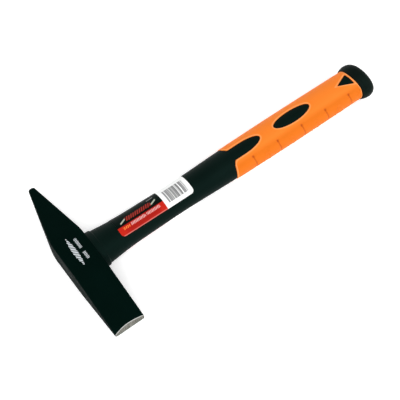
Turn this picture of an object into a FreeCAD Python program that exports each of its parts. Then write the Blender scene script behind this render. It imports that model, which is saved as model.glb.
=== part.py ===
# Chipping hammer, 500 g class: a forged head with a pick point and an edge that runs along the
# handle, on a glass-fibre rod handle with a moulded jacket, a soft grip sleeve and a butt cap.
# The hammer lies on its cheek: X runs along the handle from head to butt, Y toward the pick,
# Z up. The origin is on the lower cheek, under the middle of the eye.  Lengths are in mm.
import FreeCAD, Part
import Sketcher
import os

V = FreeCAD.Vector
doc = FreeCAD.newDocument("ChippingHammer")

# ---------------------------------------------------------------- sizes
sheet = doc.addObject("Spreadsheet::Sheet", "Sizes")
row_count = 0


def size(alias, value):
    global row_count
    row_count += 1
    sheet.set("A%d" % row_count, alias)
    sheet.set("B%d" % row_count, str(value))
    sheet.setAlias("B%d" % row_count, alias)


# head
size("cheek_thickness", 27.0)
size("outer_face", 13.2)
size("inner_face", 14.5)
size("blade_reach", 72.3)
size("pick_reach", 78.4)
size("pick_tip_along", 3.2)
size("tip_half_width", 2.7)
size("outer_taper_start", 21.0)
size("inner_taper_start", 16.5)
size("cheek_flat_half", 20.0)
size("blade_end_thickness", 5.2)
size("pick_end_thickness", 4.2)
size("bevel_length", 4.3)
size("bevel_slope", 0.68)
size("edge_thickness", 0.8)
size("long_edge_radius", 1.5)
size("pick_nose_radius", 2.6)
size("blade_corner_radius", 1.6)
size("face_blend_radius", 55.0)
size("inner_blend_radius", 60.0)
size("cheek_blend_radius", 40.0)
# eye, resin and rod
size("eye_width_outer", 24.0)
size("eye_depth_outer", 15.6)
size("eye_width_inner", 22.0)
size("eye_depth_inner", 14.2)
size("resin_recess", 0.12)
size("rod_cover", 1.9)
size("rod_width", 18.0)
size("rod_depth", 10.8)
size("rod_end", 290.0)
# shoulder flange of the jacket
size("flange_width", 35.0)
size("flange_depth", 25.2)
size("flange_length", 5.0)
# how far the handle sits from the eye's middle toward the finger side, and the butt cap's lean
size("handle_offset", 0.5)
size("cap_tilt", 4.5)
# grip sleeve
size("sleeve_front_flank", 149.9)
size("sleeve_front_mid", 151.6)
size("sleeve_front_root", 154.2)
size("tongue_half_width", 5.8)
size("tongue_tip", 184.2)
size("tongue_shoulder", 165.5)
size("sleeve_rear", 285.4)
size("rear_sweep", 2.1)
size("rear_bend", 12.0)
size("sleeve_wall", 2.1)
size("sleeve_proud", 0.5)
size("window_start", 199.6)
size("window_end", 237.9)
size("window_width", 11.6)
size("triangle_apex", 269.6)
size("triangle_base", 283.8)
size("triangle_slant", 0.6)
size("triangle_half_width", 5.9)
size("triangle_corner_radius", 0.8)
size("root_radius", 2.2)
size("groove_first", 170.4)
size("groove_pitch", 25.9)
size("groove_radius", 2.6)
size("groove_bite", 0.9)
# wrap label
size("label_start", 38.0)
size("label_end", 109.8)
size("label_edge", 8.7)
size("label_thickness", 0.25)
size("label_corner_radius", 3.0)

# the sections of the moulded jacket: name, distance from the eye, width (Y), depth (Z)
JACKET = (
    ("shoulder", 14.5, 33.4, 24.4),
    ("throat", 22.0, 32.4, 23.9),
    ("neck", 34.0, 29.9, 23.0),
    ("upper_shaft", 54.0, 27.7, 22.1),
    ("waist", 84.0, 26.8, 21.6),
    ("lower_shaft", 116.0, 27.4, 22.0),
    ("grip_start", 142.0, 28.9, 22.9),
    ("front_swell", 165.0, 29.6, 23.6),
    ("palm_front", 190.0, 30.1, 24.0),
    ("palm_rear", 253.0, 30.0, 24.0),
    ("palm_end", 276.0, 29.7, 23.8),
    ("grip_end", 296.0, 29.4, 23.6),
)
# the sections of the butt cap
CAP = (
    ("cap_mouth", 283.4, 30.8, 25.2),
    ("cap_flare", 287.2, 33.8, 26.2),
    ("cap_crown", 291.4, 36.0, 26.94),
    ("cap_back", 296.0, 34.6, 26.0),
    ("cap_rim", 299.2, 29.8, 21.2),
    ("cap_end", 300.6, 22.0, 14.0),
)
for name, along, width, depth in JACKET + CAP:
    size(name + "_along", along)
    size(name + "_width", width)
    size(name + "_depth", depth)
doc.recompute()


# ---------------------------------------------------------------- helpers
def number(text):
    return float(sheet.evalExpression(text.replace("Sizes.", "")))


def plane(body, role):
    for feature in body.Origin.OriginFeatures:
        if feature.Role == role:
            return feature
    raise ValueError(role)


def new_body(name):
    body = doc.addObject("PartDesign::Body", name)
    return body


def new_sketch(body, role, name):
    sk = body.newObject("Sketcher::SketchObject", name)
    sk.AttachmentSupport = (plane(body, role), [""])
    sk.MapMode = "FlatFace"
    return sk


def pin(sk, geo, end, px, py):
    # ties one end of a sketch line to a pair of size expressions
    for kind, text in (("DistanceX", px), ("DistanceY", py)):
        index = sk.addConstraint(Sketcher.Constraint(kind, -1, 1, geo, end, number(text)))
        sk.setExpression("Constraints[%d]" % index, text)


def polygon(sk, points):
    first = sk.GeometryCount
    count = len(points)
    spots = [V(number(px), number(py), 0) for px, py in points]
    for i in range(count):
        sk.addGeometry(Part.LineSegment(spots[i], spots[(i + 1) % count]), False)
    for i in range(count):
        link = Sketcher.Constraint("Coincident", first + i, 2, first + (i + 1) % count, 1)
        sk.addConstraint(link)
    for i in range(count):
        pin(sk, first + i, 1, points[i][0], points[i][1])


def pad(body, sk, length, name):
    feature = body.newObject("PartDesign::Pad", name)
    feature.Profile = sk
    feature.SideType = 2
    feature.setExpression("Length", length)
    sk.Visibility = False
    doc.recompute()
    return feature


def pocket(body, sk, length, name):
    feature = body.newObject("PartDesign::Pocket", name)
    feature.Profile = sk
    feature.SideType = 2
    feature.setExpression("Length", length)
    sk.Visibility = False
    doc.recompute()
    return feature


def fillet(body, base, radius, name, wanted):
    # rounds every edge of the base feature for which wanted(edge) is true
    names = []
    for i, edge in enumerate(base.Shape.Edges):
        if wanted(edge):
            names.append("Edge%d" % (i + 1))
    feature = body.newObject("PartDesign::Fillet", name)
    feature.Base = (base, names)
    feature.setExpression("Radius", radius)
    doc.recompute()
    return feature


def upright_at(edge, x, y, reach=0.2):
    # true for an edge that runs along Z through the point (x, y)
    a = edge.Vertexes[0].Point
    b = edge.Vertexes[-1].Point
    if abs(a.z - b.z) < 0.5:
        return False
    return max(abs(a.x - x), abs(b.x - x), abs(a.y - y), abs(b.y - y)) < reach


def section(name, along, half_width, half_depth, across="0", lean=0):
    # an oval across the handle: wide in Y, deep in Z, leaning about Z by a few degrees
    oval = doc.addObject("Part::Ellipse", name)
    upright = FreeCAD.Rotation(V(0, 1, 0), V(0, 0, 1), V(1, 0, 0))
    turned = FreeCAD.Rotation(V(0, 0, 1), lean).multiply(upright)
    oval.Placement = FreeCAD.Placement(V(0, 0, 0), turned)
    oval.MajorRadius = number(half_width)
    oval.MinorRadius = number(half_depth)
    oval.setExpression("MajorRadius", half_width)
    oval.setExpression("MinorRadius", half_depth)
    oval.setExpression("Placement.Base.x", along)
    oval.setExpression("Placement.Base.y", across)
    return oval


def loft(name, sections, ruled=False):
    solid = doc.addObject("Part::Loft", name)
    solid.Sections = sections
    solid.Solid = True
    solid.Ruled = ruled
    doc.recompute()
    return solid


def handle_loft(name, rows, extra, lean=0):
    # a loft through the named sections, each grown by the expression "extra" on every side
    ovals = []
    for row in rows:
        key = "Sizes." + row[0]
        ovals.append(section(
            name + "_" + row[0],
            key + "_along",
            key + "_width / 2 + " + extra,
            key + "_depth / 2 + " + extra,
            "-Sizes.handle_offset",
            lean,
        ))
    return loft(name, ovals)


def cut(name, base, tool):
    result = doc.addObject("Part::Cut", name)
    result.Base = base
    result.Tool = tool
    return result


def common(name, one, two):
    result = doc.addObject("Part::Common", name)
    result.Base = one
    result.Tool = two
    return result


def fuse(name, shapes):
    result = doc.addObject("Part::MultiFuse", name)
    result.Shapes = shapes
    return result


def note(feature):
    state = "ok" if feature.State == ["Up-to-date"] and feature.Shape.isValid() else "CHECK"
    print(state, feature.Name, feature.State, round(feature.Shape.Volume, 1))


# ---------------------------------------------------------------- head
head_body = new_body("HeadBody")
side = new_sketch(head_body, "XY_Plane", "HeadSide")
polygon(side, (
    ("-Sizes.outer_face", "-Sizes.blade_reach"),
    ("Sizes.inner_face", "-Sizes.blade_reach"),
    ("Sizes.inner_face", "Sizes.inner_taper_start"),
    ("Sizes.pick_tip_along + Sizes.tip_half_width", "Sizes.pick_reach"),
    ("Sizes.pick_tip_along - Sizes.tip_half_width", "Sizes.pick_reach"),
    ("-Sizes.outer_face", "Sizes.outer_taper_start"),
))
slab = pad(head_body, side, "Sizes.cheek_thickness", "HeadSlab")

steps = slab
for label, px, py, radius in (
    ("OuterBlend", "-Sizes.outer_face", "Sizes.outer_taper_start", "Sizes.face_blend_radius"),
    ("InnerBlend", "Sizes.inner_face", "Sizes.inner_taper_start", "Sizes.inner_blend_radius"),
    ("OuterCorner", "-Sizes.outer_face", "-Sizes.blade_reach", "Sizes.blade_corner_radius"),
    ("InnerCorner", "Sizes.inner_face", "-Sizes.blade_reach", "Sizes.blade_corner_radius"),
    ("TipInner", "Sizes.pick_tip_along + Sizes.tip_half_width", "Sizes.pick_reach",
     "Sizes.pick_nose_radius"),
    ("TipOuter", "Sizes.pick_tip_along - Sizes.tip_half_width", "Sizes.pick_reach",
     "Sizes.pick_nose_radius"),
):
    x = number(px)
    y = number(py)
    steps = fillet(head_body, steps, radius, label, lambda e, x=x, y=y: upright_at(e, x, y))
    note(steps)

taper = new_sketch(head_body, "YZ_Plane", "HeadTaper")
for sign in ("", "-"):
    polygon(taper, (
        ("-Sizes.blade_reach - 6", sign + "(Sizes.blade_end_thickness / 2 - 1.2)"),
        ("-Sizes.blade_reach", sign + "Sizes.blade_end_thickness / 2"),
        ("-Sizes.cheek_flat_half", sign + "Sizes.cheek_thickness / 2"),
        ("-Sizes.cheek_flat_half", sign + "(Sizes.cheek_thickness / 2 + 5)"),
        ("-Sizes.blade_reach - 6", sign + "(Sizes.cheek_thickness / 2 + 5)"),
    ))
    polygon(taper, (
        ("Sizes.pick_reach + 6", sign + "(Sizes.pick_end_thickness / 2 - 1.1)"),
        ("Sizes.pick_reach", sign + "Sizes.pick_end_thickness / 2"),
        ("Sizes.cheek_flat_half", sign + "Sizes.cheek_thickness / 2"),
        ("Sizes.cheek_flat_half", sign + "(Sizes.cheek_thickness / 2 + 5)"),
        ("Sizes.pick_reach + 6", sign + "(Sizes.cheek_thickness / 2 + 5)"),
    ))
forged = pocket(head_body, taper, "Sizes.cheek_thickness * 4", "HeadForged")

def crease(edge):
    # the cross lines where the cheeks break into the two tapers, and the belly of each taper
    a = edge.Vertexes[0].Point
    b = edge.Vertexes[-1].Point
    if abs(a.y - b.y) > 0.01 or abs(a.x - b.x) < 8 or min(abs(a.z), abs(b.z)) < 6:
        return False
    return True


def long_edge(edge):
    # every edge between a cheek or taper face and a side face; the chisel end is left sharp
    a = edge.Vertexes[0].Point
    b = edge.Vertexes[-1].Point
    if min(abs(a.z), abs(b.z)) < 0.5 or a.z * b.z < 0:
        return False
    if abs(a.y - b.y) < 0.01 and abs(a.x - b.x) > 3:
        return False
    return True


steps = forged
steps = fillet(head_body, steps, "Sizes.cheek_blend_radius", "CheekBlend", crease)
note(steps)
steps = fillet(head_body, steps, "Sizes.long_edge_radius", "LongEdges", long_edge)
note(steps)

bevel = new_sketch(head_body, "YZ_Plane", "ChiselBevel")
for sign in ("", "-"):
    polygon(bevel, (
        ("-Sizes.blade_reach - 3", sign + "(Sizes.edge_thickness / 2 - 3 * Sizes.bevel_slope + 2)"),
        ("-Sizes.blade_reach", sign + "Sizes.edge_thickness / 2"),
        ("-Sizes.blade_reach + 3 * Sizes.bevel_length",
         sign + "(Sizes.edge_thickness / 2 + 3 * Sizes.bevel_length * Sizes.bevel_slope)"),
        ("-Sizes.blade_reach - 3", sign + "(Sizes.edge_thickness / 2 + 3 * Sizes.bevel_length)"),
    ))
ground = pocket(head_body, bevel, "Sizes.cheek_thickness * 4", "HeadGround")
note(ground)

# the eye narrows toward the handle, so the resin locks the head on
eye_outer = section("EyeOuter", "-Sizes.outer_face - 4", "Sizes.eye_width_outer / 2 + 0.15",
                    "Sizes.eye_depth_outer / 2 + 0.1")
eye_inner = section("EyeInner", "Sizes.inner_face + 4", "Sizes.eye_width_inner / 2 - 0.15",
                    "Sizes.eye_depth_inner / 2 - 0.1")
eye = loft("Eye", [eye_outer, eye_inner], ruled=True)
hammer_head = cut("hammer_head", head_body, eye)

# ---------------------------------------------------------------- rod and resin
rod_front = section("RodFront", "-Sizes.outer_face + Sizes.rod_cover + Sizes.resin_recess",
                    "Sizes.rod_width / 2", "Sizes.rod_depth / 2")
rod_back = section("RodBack", "Sizes.rod_end + 20", "Sizes.rod_width / 2", "Sizes.rod_depth / 2")
rod_stock = loft("RodStock", [rod_front, rod_back], ruled=True)


def zone_box(name, start, end, back, front, height):
    # a block between two distances along the handle, used to trim a solid
    block = doc.addObject("Part::Box", name)
    block.setExpression("Length", end + " - (" + start + ")")
    block.setExpression("Width", back + " - (" + front + ")")
    block.setExpression("Height", height)
    block.setExpression("Placement.Base.x", start)
    block.setExpression("Placement.Base.y", front)
    block.setExpression("Placement.Base.z", "-(" + height + ") / 2")
    return block


resin_zone = zone_box("ResinZone", "-Sizes.outer_face + Sizes.resin_recess", "Sizes.inner_face",
                      "30", "-30", "40")
resin_plug = common("ResinPlug", eye, resin_zone)
rod_zone = zone_box("RodZone", "-Sizes.outer_face - 10", "Sizes.rod_end", "30", "-30", "40")
rod_bore = common("RodBore", rod_stock, rod_zone)
fibreglass_rod = common("fibreglass_rod", rod_stock, rod_zone)
eye_resin = cut("eye_resin", resin_plug, rod_bore)

# ---------------------------------------------------------------- jacket, sleeve, cap, label
jacket_skin = handle_loft("JacketSkin", JACKET, "0")
label_skin = handle_loft("LabelSkin", JACKET, "Sizes.label_thickness")
GRIP = JACKET[6:]
grip_core = handle_loft("GripCore", GRIP, "Sizes.sleeve_proud - Sizes.sleeve_wall")
grip_skin = handle_loft("GripSkin", GRIP, "Sizes.sleeve_proud")
cap_skin = handle_loft("CapSkin", CAP, "0", number("Sizes.cap_tilt"))
for thing in (jacket_skin, label_skin, grip_core, grip_skin, cap_skin):
    note(thing)


def oval_in(sk, start, end, width):
    # an oval window drawn with its two axes, centred on the handle axis
    x0 = number(start)
    x1 = number(end)
    w = number(width)
    mid = (x0 + x1) / 2
    geo = sk.addGeometry(Part.Ellipse(V(x1, 0, 0), V(mid, w / 2, 0), V(mid, 0, 0)), False)
    sk.exposeInternalGeometry(geo)
    # internal lines: the first is the long axis, the second the short axis
    long_axis = geo + 1
    short_axis = geo + 2
    line = sk.Geometry[long_axis]
    near, far = (1, 2) if line.StartPoint.x < line.EndPoint.x else (2, 1)
    for end_id, text in ((near, start), (far, end)):
        pin(sk, long_axis, end_id, text, "0")
    line = sk.Geometry[short_axis]
    top = 1 if line.StartPoint.y > line.EndPoint.y else 2
    index = sk.addConstraint(Sketcher.Constraint("DistanceY", -1, 1, short_axis, top, w / 2))
    sk.setExpression("Constraints[%d]" % index, width + " / 2")


# the sleeve's outline seen from the cheek side: a shallow V front with a channel for the
# tongue of the jacket, two openings, and a rear end that sweeps back on the finger side
band_body = new_body("SleeveBand")
band_sketch = new_sketch(band_body, "XY_Plane", "SleeveOutline")
x_tip = number("Sizes.tongue_tip")
x_shoulder = number("Sizes.tongue_shoulder")
half = number("Sizes.tongue_half_width")
outline = (
    ("Sizes.sleeve_front_root", "Sizes.tongue_half_width"),
    ("Sizes.sleeve_front_mid", "Sizes.tongue_half_width + 3.6"),
    ("Sizes.sleeve_front_flank", "Sizes.tongue_half_width + 9"),
    ("Sizes.sleeve_front_flank", "24"),
    ("Sizes.sleeve_rear", "24"),
    ("Sizes.sleeve_rear", "1"),
    ("Sizes.sleeve_rear + Sizes.rear_sweep", "-Sizes.rear_bend"),
    ("Sizes.sleeve_rear + Sizes.rear_sweep", "-24"),
    ("Sizes.sleeve_front_flank", "-24"),
    ("Sizes.sleeve_front_flank", "-Sizes.tongue_half_width - 9"),
    ("Sizes.sleeve_front_mid", "-Sizes.tongue_half_width - 3.6"),
    ("Sizes.sleeve_front_root", "-Sizes.tongue_half_width"),
)
polygon(band_sketch, outline)
band = pad(band_body, band_sketch, "60", "SleeveBandPad")
for label, side_sign in (("RootUpper", 1), ("RootLower", -1)):
    px = number("Sizes.sleeve_front_root")
    py = side_sign * half
    band = fillet(band_body, band, "Sizes.root_radius", label,
                  lambda e, x=px, y=py: upright_at(e, x, y))
    note(band)

# openings: the tongue channel, the oval window and the triangular window
gap_body = new_body("SleeveGaps")
gap_sketch = new_sketch(gap_body, "XY_Plane", "OvalWindow")
oval_in(gap_sketch, "Sizes.window_start", "Sizes.window_end", "Sizes.window_width")
oval_in(gap_sketch, "2 * Sizes.tongue_shoulder - Sizes.tongue_tip", "Sizes.tongue_tip",
        "2 * Sizes.tongue_half_width")
gaps = pad(gap_body, gap_sketch, "60", "OvalPad")
note(gaps)
neck_body = new_body("TongueNeck")
neck_sketch = new_sketch(neck_body, "XY_Plane", "NeckOutline")
polygon(neck_sketch, (
    ("Sizes.sleeve_front_flank - 4", "-Sizes.tongue_half_width"),
    ("Sizes.tongue_shoulder", "-Sizes.tongue_half_width"),
    ("Sizes.tongue_shoulder", "Sizes.tongue_half_width"),
    ("Sizes.sleeve_front_flank - 4", "Sizes.tongue_half_width"),
))
neck = pad(neck_body, neck_sketch, "60", "NeckPad")
note(neck)
tri_body = new_body("TriangleWindow")
tri_sketch = new_sketch(tri_body, "XY_Plane", "TriangleOutline")
polygon(tri_sketch, (
    ("Sizes.triangle_apex", "0"),
    ("Sizes.triangle_base - Sizes.triangle_slant", "Sizes.triangle_half_width"),
    ("Sizes.triangle_base + Sizes.triangle_slant", "-Sizes.triangle_half_width"),
))
tri = pad(tri_body, tri_sketch, "60", "TrianglePad")
tri = fillet(tri_body, tri, "Sizes.triangle_corner_radius", "TriangleCorners",
             lambda e: abs(e.Vertexes[0].Point.z - e.Vertexes[-1].Point.z) > 1)
note(tri)

# the butt zone: everything behind the swept rear end of the sleeve belongs to the cap
butt_body = new_body("ButtZone")
butt_sketch = new_sketch(butt_body, "XY_Plane", "ButtOutline")
polygon(butt_sketch, (
    ("Sizes.sleeve_rear", "24"),
    ("Sizes.sleeve_rear", "1"),
    ("Sizes.sleeve_rear + Sizes.rear_sweep", "-Sizes.rear_bend"),
    ("Sizes.sleeve_rear + Sizes.rear_sweep", "-24"),
    ("Sizes.cap_end_along + 10", "-24"),
    ("Sizes.cap_end_along + 10", "24"),
))
butt = pad(butt_body, butt_sketch, "60", "ButtPad")
note(butt)

# openings shared by the sleeve and the jacket
openings = fuse("Openings", [gap_body, neck_body, tri_body])
band_zone = cut("BandZone", band_body, openings)

# sleeve: the proud skin inside the band, hollowed by the core of the grip
sleeve_solid = common("SleeveSolid", grip_skin, band_zone)
sleeve_hollow = cut("SleeveHollow", sleeve_solid, grip_core)

# five shallow grooves across the finger side
grooves = []
for i in range(5):
    rod = doc.addObject("Part::Cylinder", "FingerGroove%d" % (i + 1))
    rod.setExpression("Radius", "Sizes.groove_radius")
    rod.Height = 60
    rod.Placement = FreeCAD.Placement(V(0, 0, -30), FreeCAD.Rotation())
    rod.setExpression("Placement.Base.x", "Sizes.groove_first + %d * Sizes.groove_pitch" % i)
    rod.setExpression(
        "Placement.Base.y",
        "-(Sizes.palm_front_width / 2 + Sizes.handle_offset + Sizes.sleeve_proud"
        " + Sizes.groove_radius - Sizes.groove_bite)",
    )
    grooves.append(rod)
groove_set = fuse("FingerGrooves", grooves)
grip_sleeve = cut("grip_sleeve", sleeve_hollow, groove_set)

# jacket: the skin without the shell that the sleeve and the cap fill around the core of the
# grip, plus the flange that sits against the head, bored for the rod
trim = fuse("JacketTrim", [band_zone, butt_body])
shell_zone = cut("JacketShellZone", trim, grip_core)
jacket_front = cut("JacketFront", jacket_skin, shell_zone)
flange_face = section("FlangeFace", "Sizes.inner_face", "Sizes.flange_width / 2",
                      "Sizes.flange_depth / 2", "-Sizes.handle_offset")
flange_lip = section("FlangeLip", "Sizes.inner_face + Sizes.flange_length",
                     "Sizes.flange_width / 2 - 0.1", "Sizes.flange_depth / 2 - 0.1",
                     "-Sizes.handle_offset")
flange_foot = section("FlangeFoot", "Sizes.inner_face + Sizes.flange_length + 2.4",
                      "Sizes.throat_width / 2 - 1.2", "Sizes.throat_depth / 2 - 1.2",
                      "-Sizes.handle_offset")
flange = loft("Flange", [flange_face, flange_lip, flange_foot], ruled=True)
jacket_solid = fuse("JacketSolid", [jacket_front, flange])
handle_jacket = cut("handle_jacket", jacket_solid, rod_bore)

# butt cap: pushed over the end of the grip core
cap_solid = common("CapSolid", cap_skin, butt_body)
end_cap = cut("end_cap", cap_solid, grip_core)

# wrap label: a printed film around the back of the shaft
label_body = new_body("LabelZone")
label_sketch = new_sketch(label_body, "XY_Plane", "LabelOutline")
polygon(label_sketch, (
    ("Sizes.label_start", "-Sizes.label_edge"),
    ("Sizes.label_end", "-Sizes.label_edge"),
    ("Sizes.label_end", "24"),
    ("Sizes.label_start", "24"),
))
label_pad = pad(label_body, label_sketch, "60", "LabelPad")
edge_y = number("-Sizes.label_edge")
label_pad = fillet(
    label_body, label_pad, "Sizes.label_corner_radius", "LabelCorners",
    lambda e: upright_at(e, number("Sizes.label_start"), edge_y)
    or upright_at(e, number("Sizes.label_end"), edge_y),
)
note(label_pad)
label_film = common("LabelFilm", label_skin, label_body)
wrap_label = cut("wrap_label", label_film, jacket_skin)

# ---------------------------------------------------------------- lay the hammer on its cheek
NODES = (hammer_head, eye_resin, fibreglass_rod, handle_jacket, grip_sleeve, end_cap, wrap_label)
for node in NODES:
    node.Label = node.Name
    node.setExpression("Placement.Base.z", "Sizes.cheek_thickness / 2")
doc.recompute()

bad = []
for obj in doc.Objects:
    if any(flag in ("Invalid", "Error", "Touched") for flag in obj.State):
        bad.append(obj.Name)
    shape = getattr(obj, "Shape", None)
    if shape is None or shape.isNull():
        continue
    if not shape.isValid():
        bad.append(obj.Name + " shape")
print("objects", len(doc.Objects), "bad", bad)

DENSITY = {"hammer_head": 7.85, "eye_resin": 1.2, "fibreglass_rod": 1.9, "handle_jacket": 0.95,
           "grip_sleeve": 1.0, "end_cap": 0.95, "wrap_label": 1.3}
os.makedirs("parts", exist_ok=True)
whole = 0
for node in NODES:
    shape = node.Shape
    if len(shape.Solids) != 1:
        raise RuntimeError(node.Name + " has %d solids" % len(shape.Solids))
    box = shape.BoundBox
    mass = shape.Volume / 1000 * DENSITY[node.Name]
    whole += mass
    print(node.Name, "faces", len(shape.Faces), "volume", round(shape.Volume, 1),
          "mass g", round(mass, 1), "box", [round(c, 2) for c in (
              box.XMin, box.YMin, box.ZMin, box.XMax, box.YMax, box.ZMax)])
    shape.exportStep("parts/%s.step" % node.Name)
print("whole hammer g", round(whole, 1))
if bad:
    raise RuntimeError("features with errors: %s" % bad)
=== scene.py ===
import math
import bpy
import numpy as np
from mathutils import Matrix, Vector


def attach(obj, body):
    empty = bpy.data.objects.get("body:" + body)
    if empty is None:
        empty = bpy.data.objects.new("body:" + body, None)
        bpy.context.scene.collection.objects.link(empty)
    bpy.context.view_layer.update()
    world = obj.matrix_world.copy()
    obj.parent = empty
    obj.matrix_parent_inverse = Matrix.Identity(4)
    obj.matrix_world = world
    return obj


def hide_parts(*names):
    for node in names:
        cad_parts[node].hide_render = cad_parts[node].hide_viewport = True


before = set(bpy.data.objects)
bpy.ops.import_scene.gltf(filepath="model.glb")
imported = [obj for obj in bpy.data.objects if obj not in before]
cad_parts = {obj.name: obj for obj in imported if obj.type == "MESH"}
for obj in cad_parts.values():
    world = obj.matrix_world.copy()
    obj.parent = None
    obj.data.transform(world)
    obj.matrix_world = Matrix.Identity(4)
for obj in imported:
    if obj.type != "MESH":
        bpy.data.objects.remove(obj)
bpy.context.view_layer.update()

# ------------------------------------------------------------------ the object's own measures, in mm
MM = 0.001
AXIS_Z = 13.5                      # height of the handle's axis over the plane the hammer lies on
BLADE_REACH = 72.3                 # chisel edge, from the eye
BEVEL_SLOPE = 0.68                 # rise of a bevel's face for each mm back from the edge
EDGE_HALF = 0.4                    # half the thickness of the edge itself
GROUND_REACH = 3.4                 # how far back the ground steel goes, on the middle of the bevel
GROUND_BOW_INNER = 1 / 140         # how fast that shortens toward the handle's side of the edge
GROUND_BOW_OUTER = 1 / 75          # and toward the outer side
CHEEK_HEIGHT = 13.3                # from the axis: only the flat cheeks carry the marks
GRIP_X0 = 149.9                    # front of the sleeve on its flanks
REAR_X = 285.4                     # rear of the sleeve, from the middle to the back
REAR_SWEEP = 2.1                   # how much further it reaches on the finger side
TONGUE = (165.5, 184.2, 5.8)       # where the tongue starts to close, its tip, its half width
WINDOW = (218.75, 19.15, 5.8)      # centre, half length, half width of the oval window
TRIANGLE = (269.6, 283.8, 0.6, 5.9)  # apex, base, slant of the base, half width
DIMPLE_COUNT = 5                   # finger dimples, each with its groove
DIMPLE_X0 = 169.4                  # the first of them
DIMPLE_PITCH = 26.1
DIMPLE_TURN = 0.70                 # angle from the finger edge to a dimple, in radians
SLEEVE_PROUD = 0.50                # the orange stands this far over the jacket
SLEEVE_SUNK = 0.45                 # and its rim starts this far under the jacket's skin
LIP_ROLL = 0.55                    # width over which the rim rolls up
SLEEVE_WALL = 1.5                  # depth of the bore under the jacket's skin
WHITE_START = 82.7                 # where the label's white panel starts
# the oval sections of the handle under the sleeve: distance from the eye, half width, half depth
SECTIONS = np.array((
    (14.5, 16.7, 12.2), (22.0, 16.2, 11.95), (34.0, 14.95, 11.5), (54.0, 13.85, 11.05),
    (84.0, 13.4, 10.8), (116.0, 13.7, 11.0), (142.0, 14.45, 11.45), (165.0, 14.8, 11.8),
    (190.0, 15.05, 12.0), (253.0, 15.0, 12.0), (276.0, 14.85, 11.9), (296.0, 14.7, 11.8),
))
HANDLE_Y = -0.5                    # the handle's ovals sit this far to the finger side of the eye

# ------------------------------------------------------------------ looks shared by several pieces
PAINT_LOW = (0.0004, 0.0038, 0.0028)   # the head's paint, its darker and its lighter patches
PAINT_HIGH = (0.0010, 0.0062, 0.0048)
PAINT_SHINE = 0.02
PAINT_IOR = 1.3
PLASTIC_SHINE = 0.06
SHINE_TINT = (0.45, 1.0, 0.88)         # the black pieces shine a little green
WALL_LIGHT = 0.9
CEILING_LIGHT = 0.18


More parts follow.
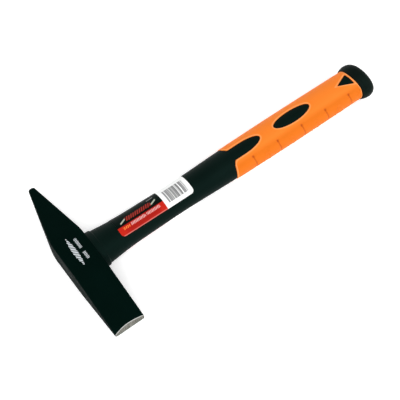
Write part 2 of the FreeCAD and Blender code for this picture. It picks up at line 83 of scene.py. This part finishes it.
# ------------------------------------------------------------------ node material helpers
class Nodes:
    """A short way to write a material's node tree."""

    def __init__(self, name):
        self.mat = bpy.data.materials.new(name)
        self.mat.use_nodes = True
        self.tree = self.mat.node_tree
        self.bsdf = self.tree.nodes["Principled BSDF"]
        place = self.tree.nodes.new("ShaderNodeTexCoord")
        split = self.tree.nodes.new("ShaderNodeSeparateXYZ")
        self.tree.links.new(place.outputs["Object"], split.inputs[0])
        self.place = place.outputs["Object"]
        # the place in mm: x along the handle, y toward the pick, z from the handle's axis
        self.x = self.math("MULTIPLY", split.outputs[0], 1000)
        self.y = self.math("MULTIPLY", split.outputs[1], 1000)
        self.z = self.math("SUBTRACT", self.math("MULTIPLY", split.outputs[2], 1000), AXIS_Z)

    def math(self, kind, a, b=None, c=None, clamp=False):
        node = self.tree.nodes.new("ShaderNodeMath")
        node.operation = kind
        node.use_clamp = clamp
        for slot, value in enumerate((a, b, c)):
            if value is None:
                continue
            if isinstance(value, (int, float)):
                node.inputs[slot].default_value = value
            else:
                self.tree.links.new(value, node.inputs[slot])
        return node.outputs[0]

    def step(self, value, edge0, edge1):
        """0 below edge0, 1 above edge1, smooth between; the edges may be given in falling order."""
        node = self.tree.nodes.new("ShaderNodeMapRange")
        node.interpolation_type = "SMOOTHSTEP"
        self.tree.links.new(value, node.inputs["Value"])
        node.inputs["From Min"].default_value = min(edge0, edge1)
        node.inputs["From Max"].default_value = max(edge0, edge1)
        node.inputs["To Min"].default_value = 0.0 if edge0 < edge1 else 1.0
        node.inputs["To Max"].default_value = 1.0 if edge0 < edge1 else 0.0
        return node.outputs[0]

    def band(self, value, low, high, soft=0.15):
        """1 between low and high, 0 outside."""
        up = self.step(value, low - soft, low + soft)
        down = self.step(value, high + soft, high - soft)
        return self.math("MULTIPLY", up, down)

    def noise(self, scale, detail=3.0, rough=0.5, stretch=(1, 1, 1)):
        node = self.tree.nodes.new("ShaderNodeTexNoise")
        node.inputs["Scale"].default_value = scale
        node.inputs["Detail"].default_value = detail
        node.inputs["Roughness"].default_value = rough
        mapping = self.tree.nodes.new("ShaderNodeMapping")
        mapping.inputs["Scale"].default_value = stretch
        self.tree.links.new(self.place, mapping.inputs["Vector"])
        self.tree.links.new(mapping.outputs[0], node.inputs["Vector"])
        return node.outputs["Fac"]

    def cells(self, scale):
        node = self.tree.nodes.new("ShaderNodeTexVoronoi")
        node.inputs["Scale"].default_value = scale
        self.tree.links.new(self.place, node.inputs["Vector"])
        return node.outputs["Distance"]

    def mix(self, factor, a, b):
        node = self.tree.nodes.new("ShaderNodeMix")
        node.data_type = "RGBA"
        for socket, value in ((node.inputs[0], factor), (node.inputs[6], a), (node.inputs[7], b)):
            if isinstance(value, (int, float)):
                socket.default_value = value
            elif isinstance(value, tuple):
                socket.default_value = (*value, 1.0)
            else:
                self.tree.links.new(value, socket)
        return node.outputs[2]

    def blend(self, factor, a, b):
        """A number going from a to b with the factor."""
        node = self.tree.nodes.new("ShaderNodeMix")
        for socket, value in ((node.inputs[0], factor), (node.inputs[2], a), (node.inputs[3], b)):
            if isinstance(value, (int, float)):
                socket.default_value = value
            else:
                self.tree.links.new(value, socket)
        return node.outputs[0]

    def attribute(self, name):
        node = self.tree.nodes.new("ShaderNodeAttribute")
        node.attribute_name = name
        return node.outputs["Fac"]

    def hatch(self, along, across, span, rows, pitch, lean, taper=0.0):
        """A row of plain leaning strokes; taper makes the row thinner toward its two ends."""
        start, end = span
        low, high = rows
        middle = (low + high) / 2
        slid = self.math("MULTIPLY_ADD", across, lean, along)
        phase = self.math("PINGPONG", self.math("ADD", slid, 100.0), pitch / 2)
        ink = self.step(phase, 0.12 * pitch, 0.26 * pitch)
        from_middle = self.math("SUBTRACT", along, (start + end) / 2)
        spread = self.math("MULTIPLY", from_middle, 2 / (end - start))
        shrink = self.math("MULTIPLY", self.math("MULTIPLY", spread, spread), taper)
        wobble = self.math("SINE", self.math("MULTIPLY", along, 2.9 / pitch))
        uneven = self.math("MULTIPLY_ADD", wobble, 0.10, 0.90)
        half = self.math("MULTIPLY", self.math("SUBTRACT", uneven, shrink), (high - low) / 2)
        off = self.math("ABSOLUTE", self.math("SUBTRACT", across, middle))
        inside = self.step(self.math("SUBTRACT", half, off), -0.12, 0.18)
        ink = self.math("MULTIPLY", ink, self.band(along, start, end, 0.2))
        return self.math("MULTIPLY", inside, ink)

    def bump(self, *layers):
        """Each layer is (height, distance in mm)."""
        previous = None
        for height, distance in layers:
            node = self.tree.nodes.new("ShaderNodeBump")
            node.inputs["Distance"].default_value = distance * MM
            self.tree.links.new(height, node.inputs["Height"])
            if previous is not None:
                self.tree.links.new(previous, node.inputs["Normal"])
            previous = node.outputs[0]
        self.tree.links.new(previous, self.bsdf.inputs["Normal"])

    def set(self, **inputs):
        for name, value in inputs.items():
            socket = self.bsdf.inputs[name.replace("_", " ")]
            if isinstance(value, tuple):
                socket.default_value = (*value, 1.0)
            elif isinstance(value, (int, float)):
                socket.default_value = value
            else:
                self.tree.links.new(value, socket)
        return self.mat


def paint_material():
    """Satin black paint on a forged head, bare ground steel on the chisel bevels, pale marks."""
    n = Nodes("head_paint")
    height = n.math("ABSOLUTE", n.z)
    reach = n.math("ADD", n.y, BLADE_REACH)
    # the wheel left the ground face arched: longest in the middle, shorter toward both corners
    square = n.math("MULTIPLY", n.x, n.x)
    outer_side = n.step(n.x, 0.5, -0.5)
    bow = n.math("MULTIPLY", square, n.blend(outer_side, GROUND_BOW_INNER, GROUND_BOW_OUTER))
    arch = n.math("SUBTRACT", GROUND_REACH, bow)
    past_arch = n.math("SUBTRACT", arch, reach)
    bevel_height = n.math("MULTIPLY_ADD", reach, BEVEL_SLOPE, EDGE_HALF)
    off_bevel = n.math("ABSOLUTE", n.math("SUBTRACT", height, bevel_height))
    on_bevel = n.math("MULTIPLY", n.step(off_bevel, 0.16, 0.06), n.step(past_arch, -0.05, 0.1))
    steel = n.math("MAXIMUM", on_bevel, n.step(reach, 0.16, 0.08))
    # painted highlight: a thin bright band along the top of the ground face stands in for the glint
    # on that edge
    ground_edge_highlight = n.math("MULTIPLY", steel, n.step(past_arch, 0.55, 0.25))
    # generic marks on both cheeks: a band of slanted strokes and two short rows of small ones
    on_cheek = n.step(height, CHEEK_HEIGHT, CHEEK_HEIGHT + 0.12)
    big = n.hatch(n.y, n.x, (-12.0, 16.0), (-3.3, 1.1), 1.75, 0.62, 0.85)
    rows = (3.5, 6.3)
    small = n.math("MAXIMUM", n.hatch(n.y, n.x, (2.4, 12.2), rows, 1.2, 0.0),
                   n.hatch(n.y, n.x, (-8.6, -1.5), rows, 1.2, 0.0))
    mark = n.math("MULTIPLY", n.math("MAXIMUM", big, n.math("MULTIPLY", small, 0.75)), on_cheek)
    orange_peel = n.noise(900, 2.0)
    broad = n.noise(60, 4.0)
    # painted glints: sparse light specks in the paint's colour stand in for tiny highlights
    paint_glint_specks = n.step(n.noise(2600, 2.0), 0.70, 0.78)
    tint = n.mix(broad, PAINT_LOW, PAINT_HIGH)
    tint = n.mix(n.math("MULTIPLY", paint_glint_specks, 0.12), tint, (0.03, 0.05, 0.05))
    silver = n.mix(n.noise(700, 2.0), (0.50, 0.56, 0.60), (0.80, 0.84, 0.86))
    tint = n.mix(mark, tint, silver)
    grind = n.noise(420, 3.0, 0.6, stretch=(9, 0.6, 0.6))
    metal = n.mix(n.step(grind, 0.32, 0.68), (0.10, 0.098, 0.080), (0.34, 0.335, 0.30))
    # the painted highlight lightens the steel's colour along that band
    metal = n.mix(ground_edge_highlight, metal, (0.74, 0.74, 0.72))
    rough = n.blend(broad, 0.50, 0.60)
    rough = n.blend(steel, rough, n.blend(grind, 0.36, 0.52))
    relief = n.blend(steel, orange_peel, n.math("MULTIPLY", grind, 0.6))
    n.bump((broad, 0.25), (relief, 0.03))
    n.set(Base_Color=n.mix(steel, tint, metal), Metallic=n.math("MULTIPLY", steel, 0.9),
          Roughness=rough, IOR=PAINT_IOR, Specular_IOR_Level=PAINT_SHINE,
          Specular_Tint=SHINE_TINT)
    return n.mat


def resin_material():
    """Cast resin around the rod, painted over with the head, with fine bubbles and dips."""
    n = Nodes("eye_resin_cast")
    bubbles = n.cells(700)
    n.bump((n.noise(220, 3.0), 0.15), (n.step(bubbles, 0.25, 0.05), 0.05))
    n.set(Base_Color=n.mix(n.noise(150, 3.0), PAINT_LOW, PAINT_HIGH),
          Roughness=n.blend(n.noise(300, 2.0), 0.48, 0.62),
          Specular_IOR_Level=PAINT_SHINE, Specular_Tint=SHINE_TINT)
    return n.mat


def rod_material():
    """Pale glass strands along the rod."""
    n = Nodes("glass_fibre_rod")
    strands = n.noise(500, 4.0, 0.6, stretch=(0.05, 4, 4))
    n.bump((strands, 0.08))
    n.set(Base_Color=n.mix(strands, (0.55, 0.48, 0.27), (0.78, 0.73, 0.52)),
          Roughness=n.blend(strands, 0.35, 0.55))
    return n.mat


def jacket_material(name, low, high):
    """Fine spark-eroded black plastic with the mould's parting line on the two narrow sides."""
    n = Nodes(name)
    broad = n.noise(45, 3.0)
    grain = n.noise(1500, 3.0, 0.65)
    seam = n.math("MULTIPLY", n.band(n.z, -0.12, 0.12, 0.12),
                  n.step(n.math("ABSOLUTE", n.y), 10.0, 11.0))
    n.bump((grain, 0.05), (n.noise(260, 2.0), 0.04), (seam, 0.12))
    n.set(Base_Color=n.mix(broad, low, high), Roughness=n.blend(grain, 0.44, 0.58),
          Specular_IOR_Level=PLASTIC_SHINE, Specular_Tint=SHINE_TINT)
    return n.mat


def grip_material():
    """Soft orange overmould: matt, with painted shade on the finger side, a painted highlight on the
    lips and painted shade in the finger hollows.
    """
    n = Nodes("grip_orange")
    broad = n.noise(40, 3.0)
    grain = n.noise(1300, 3.0, 0.6)
    colour = n.mix(broad, (0.88, 0.205, 0.019), (0.92, 0.225, 0.025))
    # painted shade: the finger side, turned away from the light, is coloured a deeper orange
    side = n.step(n.y, -6.5, -11.5)
    colour = n.mix(n.math("MULTIPLY", side, 0.9), colour, (0.70, 0.150, 0.006))
    # painted highlight: the orange is paled along the rolled lips round the openings
    colour = n.mix(n.math("MULTIPLY", n.attribute("lip_highlight"), 0.5), colour, (1.0, 0.48, 0.19))
    # painted shade: the dimples, grooves and arch troughs are coloured a dark orange
    colour = n.mix(n.math("MULTIPLY", n.attribute("hollow_shade"), 0.95), colour, (0.40, 0.055, 0.004))
    n.bump((grain, 0.04))
    n.set(Base_Color=colour, Roughness=n.blend(grain, 0.52, 0.66), Specular_IOR_Level=0.2,
          Specular_Tint=(1.0, 0.75, 0.45))
    return n.mat


def label_material():
    """Printed film: a black and red panel with plain strokes, then a white panel with plain bars."""
    n = Nodes("label_print")
    # the red strip, on the finger side of the label
    red = n.mix(n.noise(160, 2.0), (0.36, 0.009, 0.007), (0.48, 0.016, 0.011))
    ends = n.math("MAXIMUM", n.step(n.x, 46, 41), n.step(n.x, 76, 79))
    red = n.mix(n.math("MULTIPLY", ends, 0.7), red, (0.58, 0.022, 0.010))
    deep = n.math("MULTIPLY", n.band(n.y, -7.0, -5.0, 0.6), n.band(n.x, 48, 76, 2.0))
    red = n.mix(n.math("MULTIPLY", deep, 0.6), red, (0.33, 0.012, 0.006))
    warm = n.hatch(n.x, n.y, (42.3, 48.8), (-4.6, -2.0), 1.6, -0.4)
    red = n.mix(n.math("MULTIPLY", warm, 0.85), red, (1.0, 0.24, 0.05))
    rows = (-4.4, -1.6)
    pale = n.math("MAXIMUM", n.hatch(n.x, n.y, (50.0, 64.2), rows, 1.35, -0.4),
                  n.hatch(n.x, n.y, (65.4, 78.6), rows, 1.35, -0.4))
    red = n.mix(n.math("MULTIPLY", pale, 0.9), red, (0.80, 0.44, 0.42))
    # painted highlight: a thin pale line along the film's lower edge
    film_edge_highlight = n.band(n.y, -8.7, -8.1, 0.15)
    red = n.mix(n.math("MULTIPLY", film_edge_highlight, 0.5), red, (0.85, 0.30, 0.25))
    # the black panel over it
    dark = n.mix(n.noise(120, 2.0), (0.0010, 0.0032, 0.0024), (0.0026, 0.0058, 0.0046))
    words = n.hatch(n.x, n.y, (48.2, 73.2), (1.0, 5.4), 2.1, -0.55)
    dark = n.mix(n.math("MULTIPLY", words, 0.85), dark, (0.40, 0.035, 0.025))
    rise = n.math("MULTIPLY_ADD", n.x, -0.42, n.y)
    left = n.math("MULTIPLY", n.band(rise, -16.9, -15.6, 0.3), n.band(n.x, 42.6, 48.0, 0.4))
    right = n.math("MULTIPLY", n.band(rise, -29.2, -27.9, 0.3), n.band(n.x, 73.2, 78.4, 0.4))
    dark = n.mix(n.math("MULTIPLY", n.math("MAXIMUM", left, right), 0.8), dark,
                 (0.58, 0.62, 0.50))
    tiny = n.hatch(n.x, n.y, (72.0, 78.0), (7.2, 8.4), 0.9, 0.0)
    dark = n.mix(n.math("MULTIPLY", tiny, 0.5), dark, (0.5, 0.5, 0.5))
    upper = n.step(n.y, -1.1, -0.7)
    panel = n.mix(upper, red, dark)
    # the white panel: plain bars of uneven weight across the handle
    field = n.math("MULTIPLY", n.band(n.x, 86.6, 106.4, 0.2), n.band(n.y, -5.4, 7.0, 0.2))
    bars = n.step(n.noise(900, 1.0, 0.5, stretch=(1.0, 0.0, 0.0)), 0.42, 0.50)
    weight = n.blend(n.noise(170, 1.0, 0.5, stretch=(1.0, 0.0, 0.0)), 0.45, 1.0)
    heavy = n.math("MAXIMUM", n.band(n.x, 95.9, 97.9, 0.3), n.band(n.x, 99.6, 102.4, 0.3))
    weight = n.math("MAXIMUM", weight, n.math("MULTIPLY", heavy, 0.8))
    bars = n.math("MULTIPLY", n.math("MULTIPLY", field, bars), weight)
    white = n.mix(n.noise(90, 2.0), (0.93, 0.94, 0.93), (0.97, 0.98, 0.97))
    white = n.mix(bars, white, (0.03, 0.03, 0.035))
    white_panel = n.step(n.x, WHITE_START, WHITE_START + 0.25)
    n.bump((n.noise(350, 2.0), 0.02))
    n.set(Base_Color=n.mix(white_panel, panel, white),
          Roughness=n.blend(n.noise(200, 2.0), 0.36, 0.46), Specular_IOR_Level=0.05,
          Specular_Tint=SHINE_TINT)
    return n.mat


# ------------------------------------------------------------------ shapes
def spline(x, xs, ys):
    """A natural cubic spline through (xs, ys), read at x."""
    count = len(xs)
    h = np.diff(xs)
    rows = np.zeros((count, count))
    rhs = np.zeros(count)
    rows[0, 0] = rows[-1, -1] = 1
    for i in range(1, count - 1):
        rows[i, i - 1:i + 2] = h[i - 1], 2 * (h[i - 1] + h[i]), h[i]
        rhs[i] = 6 * ((ys[i + 1] - ys[i]) / h[i] - (ys[i] - ys[i - 1]) / h[i - 1])
    bend = np.linalg.solve(rows, rhs)
    i = np.clip(np.searchsorted(xs, x) - 1, 0, count - 2)
    a = (xs[i + 1] - x) / h[i]
    b = (x - xs[i]) / h[i]
    curve = ((a ** 3 - a) * bend[i] + (b ** 3 - b) * bend[i + 1]) * h[i] ** 2 / 6
    return a * ys[i] + b * ys[i + 1] + curve


def smooth_step(value, low, high):
    t = np.clip((value - low) / (high - low), 0, 1)
    return t * t * (3 - 2 * t)


def soft_min(a, b, k):
    h = np.clip(0.5 + 0.5 * (b - a) / k, 0, 1)
    return b * (1 - h) + a * h - k * h * (1 - h)


def oval_distance(x, y, centre, half_length, half_width):
    """Roughly the distance to an oval, positive outside."""
    px = (x - centre) / half_length
    py = y / half_width
    size = np.hypot(px, py)
    slope = np.hypot(px / half_length, py / half_width)
    return size * (size - 1) / np.maximum(slope, 1e-6)


def sleeve_distance(x, y):
    """How far inside the orange a place is, seen from the cheek side; negative outside it."""
    side = np.abs(y)
    front_line = np.interp(side, (5.8, 9.4, 14.8, 24.0), (154.2, 151.6, 149.9, 149.9))
    front = (x - front_line) * 0.86
    start, tip, half = TONGUE
    oval = oval_distance(x, y, start, tip - start, half)
    tongue = np.where(x < start, side - half, oval)
    openings = soft_min(front, tongue, 1.6)
    openings = np.minimum(openings, oval_distance(x, y, *WINDOW))
    apex, base, slant, wide = TRIANGLE
    length = base - slant * np.sign(y) - apex
    edge = (side - (x - apex) * wide / length) * length / np.hypot(length, wide)
    back = base - slant * y / wide - x
    inside = soft_min(-edge, back, 1.6)
    openings = np.minimum(openings, np.where(inside > 0, -inside, np.maximum(edge, -back)))
    rear = np.interp(y, (-12.0, 1.0), (REAR_X + REAR_SWEEP, REAR_X)) - x
    return np.minimum(openings, rear)


def finger_relief(x, y, z):
    """Dimples, grooves and arches along the finger edge, in mm, and a weight for the painted shade
    in their hollows.
    """
    relief = np.zeros_like(x)
    hollow_shade = np.zeros_like(x)
    # angle round the section from the finger edge, the same on both cheeks
    turn = np.abs(np.arctan2(z, -y))
    for i in range(DIMPLE_COUNT):
        at = DIMPLE_X0 + i * DIMPLE_PITCH
        dimple = np.exp(-(np.hypot(x - at, (turn - DIMPLE_TURN) * 13.0) / 0.95) ** 2)
        line = at + 1.3 * smooth_step(DIMPLE_TURN - turn, 0.0, DIMPLE_TURN)
        reach = 1 - smooth_step(turn, 0.62, 0.72)
        groove = np.exp(-((x - line) / 0.62) ** 2) * reach
        relief -= 0.55 * dimple + 0.5 * groove
        hollow_shade += dimple + 0.6 * groove
        # an arch of two ridges between neighbouring grooves, close to the finger edge
        middle = at + DIMPLE_PITCH / 2
        arch = np.hypot((x - middle) / 3.4, turn / 0.50)
        keep = 1 - smooth_step(np.abs(x - middle), 3.4, 4.4)
        relief += (0.22 * np.exp(-((arch - 1.0) / 0.14) ** 2)
                   - 0.22 * np.exp(-((arch - 0.72) / 0.12) ** 2)) * keep
        hollow_shade += 0.1 * np.exp(-((arch - 0.72) / 0.12) ** 2) * keep
    return relief, np.clip(hollow_shade, 0, 1)


def build_sleeve():
    """The orange overmould as one closed tube: rolled lips, dimples, grooves and finger arches."""
    nx, nt = 560, 360
    xs = np.linspace(GRIP_X0 - 1.2, REAR_X + REAR_SWEEP + 0.7, nx)
    ts = np.linspace(0, 2 * math.pi, nt, endpoint=False)
    x, t = np.meshgrid(xs, ts, indexing="ij")
    a = spline(x, SECTIONS[:, 0], SECTIONS[:, 1])
    b = spline(x, SECTIONS[:, 0], SECTIONS[:, 2])
    y = a * np.cos(t) + HANDLE_Y
    z = b * np.sin(t)
    ny = np.cos(t) / a
    nz = np.sin(t) / b
    size = np.hypot(ny, nz)
    ny /= size
    nz /= size
    d = sleeve_distance(x, y)
    # the rim rolls up out of the jacket and rounds over into the openings
    roll = np.clip(d / LIP_ROLL, 0, 1)
    rise = -SLEEVE_SUNK + (SLEEVE_SUNK + SLEEVE_PROUD) * np.sqrt(1 - (1 - roll) ** 2)
    relief, hollow_shade = finger_relief(x, y - HANDLE_Y, z)
    calm = smooth_step(d, 0.8, 2.0)
    offset = rise + relief * calm
    outer = np.stack((x, y + ny * offset, z + nz * offset + AXIS_Z), -1).reshape(-1, 3)
    bore = np.stack((x, y - ny * SLEEVE_WALL, z - nz * SLEEVE_WALL + AXIS_Z), -1)
    ends = bore[[0, -1]].reshape(-1, 3)
    verts = np.concatenate((outer, ends)) * MM
    # quads between neighbouring rings: along the outside, then back through the bore's two rings
    rings = np.arange((nx + 2) * nt).reshape(nx + 2, nt)
    order = list(range(nx)) + [nx + 1, nx, 0]
    quads = []
    for one, two in zip(order[:-1], order[1:]):
        first = rings[one]
        second = rings[two]
        quads.append(np.stack((first, np.roll(first, -1), np.roll(second, -1), second), -1))
    mesh = bpy.data.meshes.new("grip_sleeve_moulded")
    mesh.from_pydata(verts.tolist(), [], np.concatenate(quads).tolist())
    mesh.validate()
    mesh.shade_smooth()
    # weights for painted light: a highlight along the lips and shade in the finger hollows
    lip_highlight = np.exp(-((d - 0.75) / 0.45) ** 2)
    for name, values in (("lip_highlight", lip_highlight), ("hollow_shade", hollow_shade * calm)):
        layer = mesh.attributes.new(name, "FLOAT", "POINT")
        full = np.concatenate((values.reshape(-1), np.zeros(2 * nt)))
        layer.data.foreach_set("value", full.astype(np.float32))
    piece = bpy.data.objects.new("grip_sleeve_moulded", mesh)
    bpy.context.scene.collection.objects.link(piece)
    return piece


# ------------------------------------------------------------------ dress the frame
MATERIALS = {
    "hammer_head": paint_material(),
    "eye_resin": resin_material(),
    "fibreglass_rod": rod_material(),
    "handle_jacket": jacket_material("jacket_black", (0.0012, 0.0050, 0.0040),
                                     (0.0026, 0.0080, 0.0064)),
    "end_cap": jacket_material("cap_black", (0.0024, 0.0046, 0.0036), (0.0046, 0.0074, 0.0060)),
    "wrap_label": label_material(),
    "grip_sleeve": grip_material(),
}
for name, material in MATERIALS.items():
    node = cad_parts[name]
    node.data.materials.clear()
    node.data.materials.append(material)

sleeve = build_sleeve()
sleeve.data.materials.append(MATERIALS["grip_sleeve"])
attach(sleeve, "root")
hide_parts("grip_sleeve")

# ------------------------------------------------------------------ floor, light and camera
floor_mat = bpy.data.materials.new("floor_pale")
floor_mat.use_nodes = True
floor_bsdf = floor_mat.node_tree.nodes["Principled BSDF"]
floor_bsdf.inputs["Base Color"].default_value = (0.93, 0.93, 0.93, 1)
floor_bsdf.inputs["Roughness"].default_value = 0.9
# the floor glows a little, like a light table, so that the shadows stay faint
floor_bsdf.inputs["Emission Color"].default_value = (1, 1, 1, 1)
floor_bsdf.inputs["Emission Strength"].default_value = 0.38
bpy.ops.mesh.primitive_plane_add(size=12, location=(0.1, 0, -0.0003))
floor = bpy.context.object
floor.name = "floor"
floor.data.materials.append(floor_mat)

# a studio with bright walls and a dim ceiling, so that flat tops stay dark
world = bpy.data.worlds.new("studio")
world.use_nodes = True
tree = world.node_tree
direction = tree.nodes.new("ShaderNodeTexCoord")
split = tree.nodes.new("ShaderNodeSeparateXYZ")
tree.links.new(direction.outputs["Generated"], split.inputs[0])
height = tree.nodes.new("ShaderNodeMapRange")
height.interpolation_type = "SMOOTHSTEP"
tree.links.new(split.outputs[2], height.inputs["Value"])
height.inputs["From Min"].default_value = 0.05
height.inputs["From Max"].default_value = 0.75
height.inputs["To Min"].default_value = WALL_LIGHT
height.inputs["To Max"].default_value = CEILING_LIGHT
background = tree.nodes["Background"]
background.inputs[0].default_value = (1, 1, 1, 1)
tree.links.new(height.outputs[0], background.inputs[1])
bpy.context.scene.world = world
bpy.context.scene.view_settings.view_transform = "Standard"


def area(name, place, target, size, power):
    data = bpy.data.lights.new(name, "AREA")
    data.size = size
    data.energy = power
    lamp = bpy.data.objects.new(name, data)
    lamp.location = place
    lamp.rotation_mode = "QUATERNION"
    lamp.rotation_quaternion = (Vector(target) - Vector(place)).to_track_quat("-Z", "Y")
    bpy.context.scene.collection.objects.link(lamp)


MIDDLE = (0.12, 0.0, 0.013)
LAMP_SIZE = 1.2
for lamp_name, lamp_place, watts in (
    ("key", (-0.7, -0.8, 1.2), 17.5),
    ("fill", (1.0, -0.6, 1.1), 12),
    ("back", (0.0, 1.3, 0.8), 6),
):
    area(lamp_name, lamp_place, MIDDLE, LAMP_SIZE, watts)

CAM_AZ = math.radians(-36.40)
CAM_EL = math.radians(62.51)
CAM_DISTANCE = 0.9
CAM_TARGET = Vector((0.11138, -0.01391, 0.0135))
toward_camera = Vector((math.sin(CAM_AZ) * math.cos(CAM_EL), -math.cos(CAM_AZ) * math.cos(CAM_EL),
                        math.sin(CAM_EL)))
cam_data = bpy.data.cameras.new("camera")
cam_data.sensor_width = 36
cam_data.lens = 97.085
cam_data.clip_start = 0.01
camera = bpy.data.objects.new("camera", cam_data)
camera.location = CAM_TARGET + toward_camera * CAM_DISTANCE
camera.rotation_mode = "QUATERNION"
camera.rotation_quaternion = (-toward_camera).to_track_quat("-Z", "Y")
bpy.context.scene.collection.objects.link(camera)
bpy.context.scene.camera = camera
